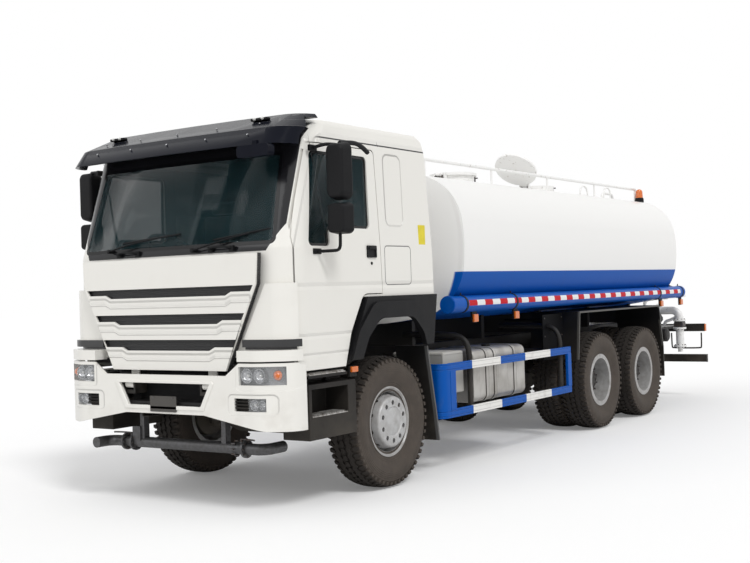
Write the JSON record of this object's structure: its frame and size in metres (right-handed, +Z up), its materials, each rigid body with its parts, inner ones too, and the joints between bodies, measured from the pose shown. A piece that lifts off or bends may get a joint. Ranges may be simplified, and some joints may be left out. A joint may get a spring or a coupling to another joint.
{
  "type": "three-axle tanker truck",
  "caption": "Cab-over tanker truck with a tilting cab, opening doors and manhole lids, steered front wheels, twin rear wheels and a front spray bar.",
  "frame": {"origin": "on the ground under the middle of the truck's length and width", "axes": "+Z up, the truck faces -Y, its left side is +X"},
  "size_m": [3, 9.75, 3.3264],
  "materials": {
    "cab_paint": "gloss",
    "tank_paint": "gloss",
    "blue_paint": "gloss",
    "pipe_paint": "gloss",
    "chassis_paint": "satin",
    "grey_paint": "satin",
    "cast_housing": "rough",
    "rim_paint": "satin",
    "tyre_rubber": "matt",
    "glass": "clear",
    "lamp_glass": "clear",
    "amber": "gloss",
    "black_plastic": "matt",
    "grey_plastic": "matt",
    "seat_cloth": "woven",
    "brushed_tank": "brushed",
    "pump_steel": "satin"
  },
  "bodies": {
    "chassis": {"air_tanks": "grey_paint", "battery_box": "grey_paint", "beacon": "amber", "bumper": "cab_paint", "delivery_pipes": "pipe_paint", "driveline": "cast_housing", "engine_block": "cast_housing", "frame_crossmembers": "chassis_paint", "frame_rails": "chassis_paint", "front_axle_beam": "cast_housing", "front_lamps": "lamp_glass", "front_mudguards": "chassis_paint", "fuel_tank": "brushed_tank", "hose_tubes": "blue_paint", "leaf_springs": "chassis_paint", "manhole_necks": "tank_paint", "rear_axles": "cast_housing", "rear_fenders": "chassis_paint", "rear_ladder": "tank_paint", "rear_lamp_bar": "chassis_paint", "rear_platform": "chassis_paint", "side_guard_posts": "chassis_paint", "side_guard_rails": "blue_paint", "silencer": "pump_steel", "spray_bar": "pump_steel", "steps": "black_plastic", "tank_cradle": "chassis_paint", "tank_shell": "tank_paint", "underrun_bar": "chassis_paint", "walkway_rails": "tank_paint"},
    "cab": {"cab_shell": "cab_paint", "windscreen": "glass", "visor": "black_plastic", "corner_panels": "cab_paint", "cab_fenders": "black_plastic", "seats": "seat_cloth", "dashboard": "grey_plastic"},
    "front_flap": {"front_panel": "cab_paint"},
    "door_left": {"door_left": "cab_paint", "door_glass_left": "glass", "mirrors_left": "black_plastic"},
    "door_right": {"door_right": "cab_paint", "door_glass_right": "glass", "mirrors_right": "black_plastic"},
    "knuckle_left": {"knuckle_left": "cast_housing"},
    "knuckle_right": {"knuckle_right": "cast_housing"},
    "lid_front": {"manhole_lid_front": "tank_paint"},
    "lid_rear": {"manhole_lid_rear": "tank_paint"},
    "wheel_front_left": {"tyre_front_left": "tyre_rubber", "rim_front_left": "rim_paint"},
    "wheel_front_right": {"tyre_front_right": "tyre_rubber", "rim_front_right": "rim_paint"},
    "wheel_middle_left": {"tyre_middle_left": "tyre_rubber", "rim_middle_left": "rim_paint"},
    "wheel_middle_right": {"tyre_middle_right": "tyre_rubber", "rim_middle_right": "rim_paint"},
    "wheel_rear_left": {"tyre_rear_left": "tyre_rubber", "rim_rear_left": "rim_paint"},
    "wheel_rear_right": {"tyre_rear_right": "tyre_rubber", "rim_rear_right": "rim_paint"}
  },
  "joints": [
    {"name": "cab_tilt", "type": "hinge", "parent": "chassis", "child": "cab", "pos_m": [0, -4.805, 0.98], "axis": [1, 0, 0], "range_deg": [0, 50]},
    {"name": "front_flap_lift", "type": "hinge", "parent": "cab", "child": "front_flap", "pos_m": [0, -4.82, 2.005], "axis": [-1, 0, 0], "range_deg": [0, 70]},
    {"name": "door_left_swing", "type": "hinge", "parent": "cab", "child": "door_left", "pos_m": [1.193, -4.59, 1.9], "axis": [0, 0, -1], "range_deg": [0, 65]},
    {"name": "door_right_swing", "type": "hinge", "parent": "cab", "child": "door_right", "pos_m": [-1.193, -4.59, 1.9], "axis": [0, 0, 1], "range_deg": [0, 65]},
    {"name": "steer_left", "type": "hinge", "parent": "chassis", "child": "knuckle_left", "pos_m": [0.86, -3.32, 0.5625], "axis": [0, 0, 1], "range_deg": [-35, 35]},
    {"name": "steer_right", "type": "hinge", "parent": "chassis", "child": "knuckle_right", "pos_m": [-0.86, -3.32, 0.5625], "axis": [0, 0, 1], "range_deg": [-35, 35]},
    {"name": "lid_front_hinge", "type": "hinge", "parent": "chassis", "child": "lid_front", "pos_m": [0, -0.47, 2.961], "axis": [1, 0, 0], "range_deg": [0, 140]},
    {"name": "lid_rear_hinge", "type": "hinge", "parent": "chassis", "child": "lid_rear", "pos_m": [0, 1.61, 2.961], "axis": [1, 0, 0], "range_deg": [-140, 0]},
    {"name": "spin_front_left", "type": "hinge", "parent": "knuckle_left", "child": "wheel_front_left", "pos_m": [1.011, -3.32, 0.5625], "axis": [1, 0, 0], "continuous": true},
    {"name": "spin_front_right", "type": "hinge", "parent": "knuckle_right", "child": "wheel_front_right", "pos_m": [-1.011, -3.32, 0.5625], "axis": [1, 0, 0], "continuous": true},
    {"name": "spin_middle_left", "type": "hinge", "parent": "chassis", "child": "wheel_middle_left", "pos_m": [0.915, 1.005, 0.5625], "axis": [1, 0, 0], "continuous": true},
    {"name": "spin_middle_right", "type": "hinge", "parent": "chassis", "child": "wheel_middle_right", "pos_m": [-0.915, 1.005, 0.5625], "axis": [1, 0, 0], "continuous": true},
    {"name": "spin_rear_left", "type": "hinge", "parent": "chassis", "child": "wheel_rear_left", "pos_m": [0.915, 2.355, 0.5625], "axis": [1, 0, 0], "continuous": true},
    {"name": "spin_rear_right", "type": "hinge", "parent": "chassis", "child": "wheel_rear_right", "pos_m": [-0.915, 2.355, 0.5625], "axis": [1, 0, 0], "continuous": true}
  ],
  "couplings": [
    {"joint": "steer_right", "follows": "steer_left", "ratio": 1}
  ]
}
